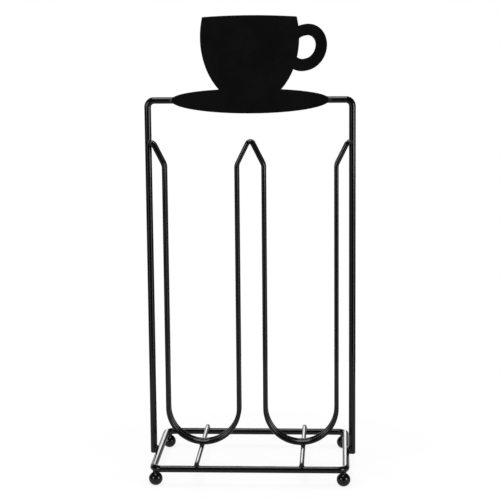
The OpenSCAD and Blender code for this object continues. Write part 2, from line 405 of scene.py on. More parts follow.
@dataclass
class EffectShelf:
    """Makes each shared node group once."""

    swell_detail: float = 2.0
    pimple_detail: float = 1.0
    patch_detail: float = 4.0
    patch_roughness: float = 0.6
    patch_range: tuple[float, float] = (0.32, 0.68)
    grain_detail: float = 5.0
    grain_roughness: float = 0.65
    grain_share: float = 1.4
    rub_range: tuple[float, float] = (0.95, 1.6)
    speck_detail: float = 6.0
    speck_roughness: float = 0.7
    speck_range: tuple[float, float] = (0.52, 0.72)
    upward_range: tuple[float, float] = (0.2, 0.95)

    def __post_init__(self) -> None:
        """Builds all groups."""
        self.groups = {
            Effect.COATING_SKIN: self._coating_skin(),
            Effect.RUBBED_EDGE: self._rubbed_edge(),
            Effect.SETTLED_DUST: self._settled_dust(),
        }

    def place(self, tree: ShaderTree, effect: Effect, inputs: dict) -> bpy.types.Node:
        """Puts an effect into a material with its own values."""
        return tree.add("Group", inputs, node_tree=self.groups[effect])

    @staticmethod
    def _new(effect: Effect, inputs: Sequence[str], outputs: Sequence[str]) -> tuple[ShaderTree, dict, dict]:
        """Starts a group, whose first input is a place and whose other sockets are numbers.

        Args:
            effect: The effect that names the group.
            inputs: The names of the inputs after the place.
            outputs: The names of the outputs.

        Returns:
            The group's tree, its inputs' sockets and its outputs' sockets by name.
        """
        group = bpy.data.node_groups.new(effect.value, "ShaderNodeTree")
        group.interface.new_socket(name="Place", in_out="INPUT", socket_type="NodeSocketVector")
        for in_out, names in (("INPUT", inputs), ("OUTPUT", outputs)):
            for name in names:
                group.interface.new_socket(name=name, in_out=in_out, socket_type="NodeSocketFloat")
        start, end = group.nodes.new("NodeGroupInput"), group.nodes.new("NodeGroupOutput")
        given = {name: start.outputs[name] for name in ("Place", *inputs)}
        return ShaderTree(group), given, {name: end.inputs[name] for name in outputs}

    def _coating_skin(self) -> bpy.types.NodeTree:
        """Makes the skin of a baked coating: soft swells with a fine pimple, and an uneven film.

        Returns:
            The group.
        """
        inputs, outputs = ("Swell", "Pimple", "Pimple Share", "Patch"), ("Height", "Film")
        tree, given, result = self._new(Effect.COATING_SKIN, inputs, outputs)
        swell = tree.noise(given["Place"], given["Swell"], self.swell_detail)
        pimple = tree.noise(given["Place"], given["Pimple"], self.pimple_detail)
        fine = tree.math("MULTIPLY", pimple, given["Pimple Share"])
        tree.feed(result["Height"], tree.math("ADD", swell, fine))
        patch = tree.noise(given["Place"], given["Patch"], self.patch_detail, self.patch_roughness)
        tree.feed(result["Film"], tree.spread(patch, *self.patch_range, 0.0, 1.0))
        return tree.tree

    def _rubbed_edge(self) -> bpy.types.NodeTree:
        """Shows where handling has thinned the coating: the mesh's wear, broken up by a noise.

        Returns:
            The group.
        """
        tree, given, result = self._new(Effect.RUBBED_EDGE, ("Worn", "Amount", "Grain"), ("Mask",))
        grain = tree.noise(given["Place"], given["Grain"], self.grain_detail, self.grain_roughness)
        uneven = tree.math("ADD", given["Worn"], tree.math("MULTIPLY", grain, self.grain_share))
        cut = tree.spread(uneven, *self.rub_range, 0.0, 1.0)
        tree.feed(result["Mask"], tree.math("MULTIPLY", cut, given["Amount"], clamp=True))
        return tree.tree

    def _settled_dust(self) -> bpy.types.NodeTree:
        """Leaves a trace of dust in specks on what faces up.

        Returns:
            The group.
        """
        tree, given, result = self._new(Effect.SETTLED_DUST, ("Upward", "Amount", "Speck"), ("Mask",))
        specks = tree.noise(given["Place"], given["Speck"], self.speck_detail, self.speck_roughness)
        loose = tree.spread(specks, *self.speck_range, 0.0, 1.0)
        facing = tree.spread(given["Upward"], *self.upward_range, 0.0, 1.0)
        lying = tree.math("MULTIPLY", loose, facing)
        tree.feed(result["Mask"], tree.math("MULTIPLY", lying, given["Amount"]))
        return tree.tree


# Finishes


@dataclass(frozen=True)
class CoatedFinish:
    """A baked black coating on steel, which looks as on the wires where a finish says nothing else."""

    slot: str
    thick_film: Colour = tinted(0.002, 0.05)
    thin_film: Colour = tinted(0.0034, 0.05)
    rubbed: Colour = tinted(0.012, 0.02)
    dust: Colour = grey(0.06)
    smooth_roughness: float = 0.1
    rough_roughness: float = 0.15
    rubbed_roughness: float = 0.42
    specular: float = 0.4
    swell_size: float = 2.6 * MM
    pimple_size: float = 0.8 * MM
    pimple_share: float = 0.25
    patch_size: float = 9.0 * MM
    relief: float = 0.02 * MM
    rub_amount: float = 0.6
    dust_amount: float = 0.1
    rub_grain_size: float = 0.6 * MM
    dust_speck_size: float = 1.2 * MM

    def material(self, shelf: EffectShelf) -> bpy.types.Material:
        """Makes the material.

        Args:
            shelf: The shared effects.

        Returns:
            The new material.
        """
        made = bpy.data.materials.new(self.slot)
        made.use_nodes = True
        tree = ShaderTree(made.node_tree)
        shader = made.node_tree.nodes["Principled BSDF"]
        place = tree.add("TexCoord").outputs["Object"]
        worn = tree.add("Attribute", attribute_name=WORN).outputs["Fac"]
        normal = tree.add("NewGeometry").outputs["Normal"]
        upward = tree.add("SeparateXYZ", {"Vector": normal}).outputs["Z"]

        skin_inputs = {
            "Place": place,
            "Swell": 1.0 / self.swell_size,
            "Pimple": 1.0 / self.pimple_size,
            "Pimple Share": self.pimple_share,
            "Patch": 1.0 / self.patch_size,
        }
        skin = shelf.place(tree, Effect.COATING_SKIN, skin_inputs)
        rub_inputs = {
            "Place": place,
            "Worn": worn,
            "Amount": self.rub_amount,
            "Grain": 1.0 / self.rub_grain_size,
        }
        rub = shelf.place(tree, Effect.RUBBED_EDGE, rub_inputs).outputs["Mask"]
        dust_inputs = {
            "Place": place,
            "Upward": upward,
            "Amount": self.dust_amount,
            "Speck": 1.0 / self.dust_speck_size,
        }
        dust = shelf.place(tree, Effect.SETTLED_DUST, dust_inputs).outputs["Mask"]

        film = skin.outputs["Film"]
        coat = tree.mix_colour(film, self.thick_film, self.thin_film)
        handled = tree.mix_colour(rub, coat, self.rubbed)
        tree.feed(shader.inputs["Base Color"], tree.mix_colour(dust, handled, self.dust))
        gloss = tree.spread(film, 0.0, 1.0, self.smooth_roughness, self.rough_roughness)
        tree.feed(shader.inputs["Roughness"], tree.spread(rub, 0.0, 1.0, gloss, self.rubbed_roughness))
        bump_inputs = {"Strength": 1.0, "Distance": self.relief, "Height": skin.outputs["Height"]}
        bump = tree.add("Bump", bump_inputs)
        tree.feed(shader.inputs["Normal"], bump.outputs["Normal"])
        shader.inputs["Specular IOR Level"].default_value = self.specular
        return made


GLOSS_WIRE = CoatedFinish("gloss_black_wire")

GLOSS_BALL = CoatedFinish(
    "gloss_black_ball",
    rubbed=tinted(0.035, 0.02),
    smooth_roughness=0.04,
    rough_roughness=0.08,
    rubbed_roughness=0.45,
    swell_size=2.2 * MM,
    pimple_size=0.7 * MM,
    pimple_share=0.2,
    patch_size=6.0 * MM,
    relief=0.012 * MM,
    rub_amount=0.8,
    dust_amount=0.08,
)

MATTE_SHEET = CoatedFinish(
    "matte_black_sheet",
    thick_film=grey(0.0018),
    thin_film=grey(0.0028),
    rubbed=grey(0.02),
    dust=grey(0.04),
    smooth_roughness=0.55,
    rough_roughness=0.68,
    rubbed_roughness=0.45,
    specular=0.06,
    swell_size=0.9 * MM,
    pimple_size=0.3 * MM,
    pimple_share=0.6,
    patch_size=24.0 * MM,
    relief=0.03 * MM,
    rub_amount=0.35,
    dust_amount=0.06,
)

COATED_WELD = CoatedFinish(
    "coated_weld",
    thin_film=tinted(0.0045, 0.04),
    rubbed=tinted(0.014, 0.02),
    dust=grey(0.05),
    smooth_roughness=0.14,
    rough_roughness=0.26,
    rubbed_roughness=0.36,
    specular=0.36,
    swell_size=0.9 * MM,
    pimple_size=0.35 * MM,
    pimple_share=0.5,
    patch_size=2.0 * MM,
    relief=0.04 * MM,
    rub_amount=0.5,
    dust_amount=0.06,
)


class Wardrobe:
    """Keeps one material for each finish."""

    def __init__(self) -> None:
        """Makes the shared effects."""
        self.shelf = EffectShelf()
        self.made: dict[str, bpy.types.Material] = {}

    def material(self, finish: CoatedFinish) -> bpy.types.Material:
        """Gives a finish's material, made on its first use."""
        if finish.slot not in self.made:
            self.made[finish.slot] = finish.material(self.shelf)
        return self.made[finish.slot]


@dataclass
class Piece:
    """A dressed piece: its object, the node that it stands for and its finish."""

    shape: bpy.types.Object
    node: str
    finish: CoatedFinish

    def dress(self, wardrobe: Wardrobe) -> None:
        """Puts the finish on the object and ties the object to the rack's body."""
        self.shape.data.materials.append(wardrobe.material(self.finish))
        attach(self.shape, BODY)
        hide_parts(self.node)
        LOG.info("%s stands for %s, %d faces", self.shape.name, self.node, len(self.shape.data.polygons))


class SubAssembly:
    """Pieces that are built and dressed together."""

    def build(self) -> list[Piece]:
        """Builds the meshes."""
        raise NotImplementedError

    def dress(self, wardrobe: Wardrobe) -> None:
        """Builds the pieces and dresses each one."""
        for piece in self.build():
            piece.dress(wardrobe)


class WireAssembly(SubAssembly):
    """Coated wires, each of which stands for the node that it is listed under."""

    wires: dict[str, Wire]

    def build(self) -> list[Piece]:
        """Builds the mesh of each wire."""
        return [
            Piece(wire.tube().to_object(node + "_wire", wire.sharp_angle), node, GLOSS_WIRE)
            for node, wire in self.wires.items()
        ]


# The rack


@dataclass
class BaseFrame(WireAssembly):
    """The ring of thick wire that the rack stands on, and the two thin bars across it."""

    corner_radius: float = 6.5 * MM

    def __post_init__(self) -> None:
        """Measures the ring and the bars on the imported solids."""
        low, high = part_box("base_ring")
        self.wire_radius = (high.z - low.z) / 2
        self.half_width = high.x - self.wire_radius
        self.half_depth = high.y - self.wire_radius
        self.height = (low.z + high.z) / 2
        self.ring = self._ring()
        self.bars = {name: self._bar(name) for name in ("left_cross_bar", "right_cross_bar")}
        self.wires = {"base_ring": self.ring, **self.bars}

    def _ring(self) -> Wire:
        """Bends the ring.

        Returns:
            The ring's wire, from its front left corner round by the right.
        """
        front = Step(2 * (self.half_width - self.corner_radius), 90.0, self.corner_radius)
        side = Step(2 * (self.half_depth - self.corner_radius), 90.0, self.corner_radius)
        return Wire(
            radius=self.wire_radius,
            plane=BendPlane.LEVEL,
            origin=(0.0, 0.0, self.height),
            start=(self.corner_radius - self.half_width, -self.half_depth),
            heading=0.0,
            steps=(front, side, front, side),
            closed=True,
            sides=THICK_WIRE_SIDES,
        )

    def _bar(self, name: str) -> Wire:
        """Cuts one straight bar.

        Args:
            name: The bar's node.

        Returns:
            The bar's wire, from the front to the back.
        """
        low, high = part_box(name)
        radius = (high.x - low.x) / 2
        return Wire(
            radius=radius,
            plane=BendPlane.LEVEL,
            origin=(0.0, 0.0, high.z - radius),
            start=((low.x + high.x) / 2, low.y),
            heading=90.0,
            steps=(Step(high.y - low.y),),
        )


@dataclass
class BallFeet(SubAssembly):
    """The four balls under the ring's corners, each with a small flat to stand on."""

    segments: int = 48
    rings: int = 30
    flat_round: float = 0.25 * MM
    wear_reach: float = 0.6 * MM
    sharp_angle: float = 60.0
    nodes: tuple[str, ...] = ("foot_front_left", "foot_front_right", "foot_rear_left", "foot_rear_right")

    def __post_init__(self) -> None:
        """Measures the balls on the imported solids."""
        self.balls: dict[str, tuple[np.ndarray, float]] = {}
        for node in self.nodes:
            low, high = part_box(node)
            radius = (high.x - low.x) / 2
            middle = np.array([(low.x + high.x) / 2, (low.y + high.y) / 2, high.z - radius])
            self.balls[node] = (middle, radius)

    def build(self) -> list[Piece]:
        """Turns each ball."""
        return [
            Piece(self._ball(*ball).to_object(node + "_ball", self.sharp_angle), node, GLOSS_BALL)
            for node, ball in self.balls.items()
        ]

    def _ball(self, middle: np.ndarray, radius: float) -> MeshParts:
        """Turns a ball from its flat up to its top.

        Args:
            middle: The ball's middle.
            radius: The ball's radius.

        Returns:
            The ball's mesh, worn on its flat.
        """
        flat = math.sqrt(radius**2 - middle[2] ** 2)
        tilt = np.linspace(-math.asin(middle[2] / radius), math.pi / 2, self.rings)[1:-1]
        shoulder = self.flat_round / 2 - middle[2]
        profile = [(flat - self.flat_round, -middle[2]), (flat + self.flat_round, shoulder)]
        profile += [(radius * math.cos(t), radius * math.sin(t)) for t in tilt]
        around = np.column_stack([circle(self.segments), np.zeros(self.segments)])
        up = np.array([0.0, 0.0, 1.0])
        points = np.concatenate([middle + reach * around + height * up for reach, height in profile])
        parts = MeshParts()
        worn = 1.0 - smooth_step(0.0, self.wear_reach, points[:, 2])
        parts.add(points, ring_quads(len(profile), self.segments), worn)
        parts.fan(middle - middle[2] * up, 0, self.segments, 1.0, flip=True)
        parts.fan(middle + radius * up, (len(profile) - 1) * self.segments, self.segments, 0.0)
        return parts


@dataclass
class Arch(WireAssembly):
    """The tall arch of thick wire."""

    corner_radius: float = 5.0 * MM

    def __post_init__(self) -> None:
        """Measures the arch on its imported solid."""
        low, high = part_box("arch")
        self.wire_radius = (high.y - low.y) / 2
        self.half_width = high.x - self.wire_radius
        self.foot = low.z
        self.top = high.z - self.wire_radius
        leg = self.top - self.foot - self.corner_radius
        bar = 2 * (self.half_width - self.corner_radius)
        self.wire = Wire(
            radius=self.wire_radius,
            plane=BendPlane.UPRIGHT,
            origin=(0.0, 0.0, 0.0),
            start=(-self.half_width, self.foot),
            heading=90.0,
            steps=(Step(leg, -90.0, self.corner_radius), Step(bar, -90.0, self.corner_radius), Step(leg)),
            sides=THICK_WIRE_SIDES,
        )
        self.wires = {"arch": self.wire}


@dataclass
class CapsuleRails(WireAssembly):
    """The front and the rear rail, each bent into two round-bottomed channels with a peak between them."""

    flank_angle: float = 26.5
    end_angle: float = 38.0
    end_reach: float = 2.4 * MM
    peak_radius: float = 2.4 * MM
    knee_radius: float = 8.0 * MM
    channel_width: float = 51.0 * MM
    channel_gap: float = 74.8 * MM
    nodes: tuple[str, ...] = ("front_rail", "rear_rail")

    def __post_init__(self) -> None:
        """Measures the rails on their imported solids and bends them."""
        self.wires = {node: self._rail(node) for node in self.nodes}

    def _rail(self, node: str) -> Wire:
        """Bends one rail.

        Args:
            node: The rail's node.

        Returns:
            The rail's wire, from its left end to its right end.
        """
        low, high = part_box(node)
        radius = (high.y - low.y) / 2
        channel_radius = self.channel_width / 2 + radius
        inner, outer = (self.channel_gap / 2 + side * channel_radius for side in (-1, 1))
        flank, tilt = math.radians(self.flank_angle), math.radians(self.end_angle)

        sharp_peak = high.z - radius + self.peak_radius * (1 / math.sin(flank) - 1)
        knee = sharp_peak - inner / math.tan(flank)
        knee_trim = self.knee_radius * math.tan(flank / 2)
        inner_flank = inner / math.sin(flank) - self.peak_radius / math.tan(flank) - knee_trim
        upright = knee - knee_trim - (low.z + radius) - channel_radius

        end = high.x - radius * math.sin(tilt)
        end_bend = end - self.end_reach
        end_height = knee + (end_bend - outer) / math.tan(flank) + self.end_reach * math.tan(tilt)
        end_turn = 90.0 - self.flank_angle - self.end_angle
        end_trim = self.peak_radius * math.tan(math.radians(end_turn) / 2)
        outer_flank = (end_bend - outer) / math.sin(flank) - knee_trim - end_trim
        end_run = self.end_reach / math.cos(tilt) - end_trim

        channel = Step(upright, 180.0, channel_radius), Step(upright, -self.flank_angle, self.knee_radius)
        return Wire(
            radius=radius,
            plane=BendPlane.UPRIGHT,
            origin=(0.0, (low.y + high.y) / 2, 0.0),
            start=(-end, end_height),
            heading=-self.end_angle,
            steps=(
                Step(end_run, -end_turn, self.peak_radius),
                Step(outer_flank, -self.flank_angle, self.knee_radius),
                *channel,
                Step(inner_flank, 2 * self.flank_angle - 180.0, self.peak_radius),
                Step(inner_flank, -self.flank_angle, self.knee_radius),
                *channel,
                Step(outer_flank, -end_turn, self.peak_radius),
                Step(end_run),
            ),
        )


@dataclass
class Emblem(SubAssembly):
    """The flat sheet on the top bar, cut as a cup on a saucer, with edges that the coating rounds."""

    top_bar_height: float
    cup_width: float = 73.6 * MM
    belly_height: float = 46.4 * MM
    bowl_depth: float = 49.5 * MM
    rim_bow: float = 1.2 * MM
    saucer_rise: float = 8.7 * MM
    saucer_upper_power: float = 0.42
    saucer_lower_power: float = 0.5
    handle_place: tuple[float, float] = (41.7 * MM, 38.9 * MM)
    handle_size: tuple[float, float] = (30.5 * MM, 35.4 * MM)
    hole_size: tuple[float, float] = (13.5 * MM, 17.6 * MM)
    hole_rise: float = 0.3 * MM
    handle_lean: float = 24.0
    arm_stretch: float = 1.5 * MM
    arm_slope: float = 12.0
    edge_round: float = 0.3 * MM
    edge_rings: int = 4
    edge_band: float = 0.5 * MM
    outline_points: int = 160
    outline_merge: float = 0.03 * MM
    face_merge: float = 1e-9
    fill_spacing: float = 4.0 * MM
    sharp_angle: float = 40.0

    def __post_init__(self) -> None:
        """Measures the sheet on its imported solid."""
        low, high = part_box("emblem_plate")
        self.middle = (low.x + high.x) / 2
        self.saucer_half = (high.x - low.x) / 2
        self.rim_height = high.z - self.top_bar_height
        self.saucer_drop = self.top_bar_height - low.z
        self.front, self.back = low.y, high.y

    def _cup(self) -> np.ndarray:
        """Draws the cup: round sides and a rim that bows up a little.

        Returns:
            The outline's points.
        """
        half = self.cup_width / 2
        corner = math.asin((self.rim_height - self.rim_bow - self.belly_height) / self.bowl_depth)
        turn = np.linspace(corner, -math.pi - corner, self.outline_points)
        sides = np.stack([half * np.cos(turn), self.belly_height + self.bowl_depth * np.sin(turn)], 1)
        share = np.linspace(-1.0, 1.0, self.outline_points // 2)[1:-1]
        rim = np.stack([share * half * math.cos(corner), self.rim_height - self.rim_bow * share**2], 1)
        return np.concatenate([sides, rim])[::-1]

    def _saucer(self) -> np.ndarray:
        """Draws the saucer: two flat curves that meet at its tips.

        Returns:
            The outline's points.
        """
        share = -np.cos(np.linspace(0.0, math.pi, self.outline_points))
        height = np.clip(1.0 - share**2, 0.0, None)
        lower = np.stack([self.saucer_half * share, -self.saucer_drop * height**self.saucer_lower_power], 1)
        upper = np.stack([self.saucer_half * share, self.saucer_rise * height**self.saucer_upper_power], 1)
        return np.concatenate([lower, upper[-2:0:-1]])

    def _handle(self, size: tuple[float, float], rise: float) -> np.ndarray:
        """Draws a leaning ellipse beside the cup, stretched towards it along the handle's arms.

        Args:
            size: The ellipse's width and length.
            rise: Height of its middle above the handle's middle.

        Returns:
            The outline's points.
        """
        way = circle(self.outline_points)
        half = np.array(size) / 2
        lean = math.radians(self.handle_lean)
        slope = lean + math.radians(self.arm_slope)
        arm = -self.arm_stretch * np.array([math.cos(slope), math.sin(slope)])
        faces_cup = way @ (arm / half) > 0.0
        x, z = (way * half + np.where(faces_cup[:, None], arm, 0.0)).T
        cos, sin = math.cos(lean), math.sin(lean)
        turned = np.stack([x * cos + z * sin, z * cos - x * sin], 1)
        return turned + np.array(self.handle_place) + np.array([0.0, rise])

    def _loops(self) -> Loops:
        """Joins the cup, the saucer and the handle.

        Returns:
            The closed loops round the joined sheet, which lies on the left of each.
        """
        handle = self._handle(self.handle_size, 0.0)
        hole = self._handle(self.hole_size, self.hole_rise)
        shapes = [self._cup(), self._saucer(), handle, hole]
        points, rings = [], []
        for shape in shapes:
            rings.append(list(range(len(points), len(points) + len(shape))))
            points.extend(Vector(p) for p in shape)
        cut = delaunay_2d_cdt(points, [], rings, 0, self.outline_merge, True)
        corners, triangles, sources = cut[0], cut[2], cut[5]
        kept = [t for t, s in zip(triangles, sources) if 0 in s or 1 in s or (2 in s and 3 not in s)]
        sides = {(t[i], t[(i + 1) % 3]) for t in kept for i in range(3)}
        following = {a: b for a, b in sides if (b, a) not in sides}
        loops = []
        while following:
            start, at = following.popitem()
            loop = [start]
            while at != start:
                loop.append(at)
                at = following.pop(at)
            loops.append(np.array([corners[i] for i in loop]))
        return loops

    @staticmethod
    def _inward(loop: np.ndarray) -> np.ndarray:
        """Finds the way into the sheet along its edge.

        Args:
            loop: A loop round the sheet.

        Returns:
            Each point's step for an inset of one.
        """
        ahead = np.roll(loop, -1, 0) - loop
        ahead /= np.linalg.norm(ahead, axis=1, keepdims=True)
        left = np.stack([-ahead[:, 1], ahead[:, 0]], 1)
        before = np.roll(left, 1, 0)
        return (left + before) / (1.0 + (left * before).sum(1, keepdims=True))

    def build(self) -> list[Piece]:
        """Builds the sheet: a rounded edge round each loop, and two flat faces.

        Returns:
            The sheet's piece.
        """
        reach = self.edge_round + self.edge_band
        turn = np.linspace(0.0, math.pi / 2, self.edge_rings + 1)
        arc = [(self.edge_round * (1 - math.sin(t)), self.edge_round * (1 - math.cos(t))) for t in turn]
        section = [(reach, self.back)]
        section += [(inset, self.back - depth) for inset, depth in arc]
        section += [(inset, self.front + depth) for inset, depth in reversed(arc)]
        section.append((reach, self.front))
        worn = 1.0 - smooth_step(0.0, reach, np.array([inset for inset, _ in section]))
        parts, loops = MeshParts(), self._loops()
        fronts, backs, flats = [], [], []
        for loop in loops:
            inward = self._inward(loop)
            rings = [self._stand(loop + inset * inward, y) for inset, y in section]
            quads = ring_quads(len(section), len(loop))
            first = parts.add(np.concatenate(rings), quads, np.repeat(worn, len(loop)))
            backs.append(first)
            fronts.append(first + (len(section) - 1) * len(loop))
            flats.append(loop + reach * inward)
        self._face(parts, flats, fronts, self.front, False)
        self._face(parts, flats, backs, self.back, True)
        return [Piece(parts.to_object("emblem_sheet", self.sharp_angle), "emblem_plate", MATTE_SHEET)]

    def _stand(self, flat: np.ndarray, y: float) -> np.ndarray:
        """Stands flat points up at a depth y."""
        x, z = flat.T
        return np.stack([x + self.middle, np.full(len(flat), y), z + self.top_bar_height], 1)

    def _face(self, parts: MeshParts, loops: Loops, firsts: list[int], y: float, flip: bool) -> None:
        """Fills one flat face with triangles of an even size.

        Args:
            parts: The mesh to add to.
            loops: The face's edges.
            firsts: The number of each edge's first point in the mesh.
            y: The face's depth.
            flip: Whether the face looks to the back.
        """
        points, edges, numbers = [], [], []
        for loop, first in zip(loops, firsts):
            start = len(points)
            points.extend(Vector(p) for p in loop)
            numbers.extend(range(first, first + len(loop)))
            edges.extend((start + i, start + (i + 1) % len(loop)) for i in range(len(loop)))
        fill = self._fill(loops)
        first_fill = parts.add(self._stand(fill, y), [])
        numbers.extend(range(first_fill, first_fill + len(fill)))
        points.extend(Vector(p) for p in fill)
        cut = delaunay_2d_cdt(points, edges, [], 0, self.face_merge, True)
        corners, triangles, sources = np.array([tuple(c) for c in cut[0]]), cut[2], cut[3]
        middles = np.array([corners[list(t)].mean(0) for t in triangles])
        for triangle, is_inside in zip(triangles, self._inside(middles, loops)):
            if is_inside:
                face = [numbers[sources[i][0]] for i in triangle]
                parts.faces.append(tuple(face[::-1] if flip else face))

    def _fill(self, loops: Loops) -> np.ndarray:
        """Spreads points over a face, well inside its edges.

        Args:
            loops: The face's edges.

        Returns:
            The points, in rows that are set off by half a step.
        """
        edge = np.concatenate(loops)
        low, high = edge.min(0), edge.max(0)
        across = np.arange(low[0], high[0], self.fill_spacing)
        up = np.arange(low[1], high[1], self.fill_spacing * math.sqrt(3) / 2)
        x, z = np.meshgrid(across, up)
        x[1::2] += self.fill_spacing / 2
        points = np.stack([x.ravel(), z.ravel()], 1)
        clear = np.array([np.linalg.norm(edge - p, axis=1).min() > self.fill_spacing / 2 for p in points])
        return points[clear & self._inside(points, loops)]

    @staticmethod
    def _inside(points: np.ndarray, loops: Loops) -> np.ndarray:
        """Tells which points lie inside the loops, by counting the sides to the right of each.

        Args:
            points: The points to test.
            loops: The loops round the sheet.

        Returns:
            Whether each point is inside.
        """
        crossed = np.zeros(len(points), int)
        for loop in loops:
            ahead = np.roll(loop, -1, 0)
            for (x0, z0), (x1, z1) in zip(loop, ahead):
                if z0 != z1:
                    spans = (points[:, 1] > min(z0, z1)) & (points[:, 1] <= max(z0, z1))
                    at = x0 + (points[:, 1] - z0) * (x1 - x0) / (z1 - z0)
                    crossed += spans & (at > points[:, 0])
        return crossed % 2 == 1


# Welds


@dataclass(frozen=True)
class WeldSpot:
    """One weld: what it joins, and the bead that the weld metal makes."""

    middle: np.ndarray
    wires: tuple[Wire, ...]
    bead_radius: float
    balls: tuple[tuple[np.ndarray, float], ...] = ()
    bead_half: tuple[float, float, float] = (0.0, 0.0, 0.0)


@dataclass
class WeldMaker:
    """Grows weld metal as the smooth joint of the wires' skins and a bead, on a fine grid."""

    cell: float = 0.32 * MM
    reach: float = 5.2 * MM
    blend: float = 0.9 * MM
    skin_gap: float = 0.07 * MM
    lump_height: float = 0.09 * MM
    lump_size: float = 0.62 * MM
    lump_skew: tuple[float, float] = (0.7, 0.4)
    lump_phase: float = 0.5
    lump_shift: float = 2.1
    margin_cells: int = 2
    near_share: float = 1.5
    proud_low: float = 0.1 * MM
    proud_high: float = 0.8 * MM

    def grow(self, spots: Sequence[WeldSpot]) -> MeshParts:
        """Grows a group of welds as one mesh.

        Args:
            spots: The welds.

        Returns:
            The mesh, whose wear is how far the weld metal stands proud of the wires.
        """
        parts = MeshParts()
        reach = self.reach + self.margin_cells * self.cell
        for number, spot in enumerate(spots):
            side = np.arange(-reach, reach + self.cell / 2, self.cell)
            grid = np.stack(np.meshgrid(side, side, side, indexing="ij"), -1) + spot.middle
            metal = self._skin_distance(grid.reshape(-1, 3), spot, number)[0].reshape(grid.shape[:3])
            points, quads = surface_nets(metal, grid[0, 0, 0], self.cell)
            proud = self._skin_distance(points, spot, number)[1]
            parts.add(points, quads, smooth_step(self.proud_low, self.proud_high, proud))
        return parts

    def _skin_distance(
        self, points: np.ndarray, spot: WeldSpot, number: int
    ) -> tuple[np.ndarray, np.ndarray]:
        """Measures how far points lie outside a weld.

        Args:
            points: The points to measure.
            spot: The weld.
            number: The weld's number in its group, which moves its lumps.

        Returns:
            The distance outside the weld metal, and the distance outside what it joins.
        """
        reach = self.near_share * self.reach
        joined = [self._to_line(points, w.near(spot.middle, reach)) - w.radius for w in spot.wires]
        joined += [np.linalg.norm(points - middle, axis=1) - radius for middle, radius in spot.balls]
        half = np.array(spot.bead_half)
        metal = self._to_line(points, np.stack([spot.middle - half, spot.middle + half])) - spot.bead_radius
        for skin in joined:
            metal = self._soft_least(metal, skin + self.skin_gap)
        x, y, z = ((points - spot.middle) / self.lump_size + self.lump_shift * number).T
        skew_x, skew_y = self.lump_skew
        lumps = np.sin(x + skew_x * y) * np.sin(y - skew_y * z) * np.sin(z + self.lump_phase)
        nearest = np.min(joined, axis=0)
        metal = metal - self.lump_height * lumps * smooth_step(0.0, self.proud_high, nearest)
        within = np.linalg.norm(points - spot.middle, axis=1) - self.reach
        return np.maximum(metal, within), nearest

    def _soft_least(self, a: np.ndarray, b: np.ndarray) -> np.ndarray:
        """Takes the lesser of two distances, with a hollow where they are close."""
        overlap = np.clip(self.blend - np.abs(a - b), 0.0, None) / self.blend
        return np.minimum(a, b) - overlap**2 * self.blend / 4

    @staticmethod
    def _to_line(points: np.ndarray, line: np.ndarray) -> np.ndarray:
        """Measures the distance from points to a line of straight stretches.

        Args:
            points: The points to measure.
            line: The line's corners.

        Returns:
            Each point's distance.
        """
        nearest = np.full(len(points), np.inf)
        for start, end in zip(line[:-1], line[1:]):
            ahead = end - start
            length = max(float(ahead @ ahead), NO_LENGTH)
            share = np.clip((points - start) @ ahead / length, 0.0, 1.0)
            nearest = np.minimum(nearest, np.linalg.norm(points - start - share[:, None] * ahead, axis=1))
        return nearest


def surface_nets(values: np.ndarray, origin: np.ndarray, cell: float) -> tuple[np.ndarray, Faces]:
    """Draws the skin of a solid whose depth is given on a grid.

    Args:
        values: Distance outside the solid at each grid point.
        origin: The place of the first grid point.
        cell: The distance between grid points.

    Returns:
        The skin's points and its quads.
    """
    size = np.array(values.shape) - 1
    corners = [np.array([i, j, k]) for i in (0, 1) for j in (0, 1) for k in (0, 1)]

    def shifted(corner: np.ndarray) -> np.ndarray:
        """Gives the values at one corner of every cell."""
        return values[tuple(slice(c, c + s) for c, s in zip(corner, size))]

    total, crossings = np.zeros((*size, 3)), np.zeros(size)
    for a in corners:
        for b in corners:
            if (b - a).sum() == 1 and ((b - a) >= 0).all():
                at_a, at_b = shifted(a), shifted(b)
                crosses = (at_a < 0) != (at_b < 0)
                share = np.where(crosses, at_a / np.where(crosses, at_a - at_b, 1.0), 0.0)
                total += crosses[..., None] * (a + share[..., None] * (b - a))
                crossings += crosses
    mixed = crossings > 0
    number = np.full(size, -1)
    number[mixed] = np.arange(mixed.sum())
    points = origin + cell * (np.argwhere(mixed) + total[mixed] / crossings[mixed][:, None])
    quads: list[tuple[int, ...]] = []
    inside = values < 0
    for axis in range(3):
        ahead = np.eye(3, dtype=int)[axis]
        first, second = (np.eye(3, dtype=int)[(axis + i) % 3] for i in (1, 2))
        near = inside[tuple(slice(0, n - a) for n, a in zip(values.shape, ahead))]
        far = inside[tuple(slice(a, None) for a in ahead)]
        for at in np.argwhere(near != far):
            if (at - first - second >= -ahead).all() and (at < size).all():
                ring = [tuple(at), tuple(at - first), tuple(at - first - second), tuple(at - second)]
                quad = tuple(int(number[c]) for c in ring)
                quads.append(quad if near[tuple(at)] else quad[::-1])
    return points, quads


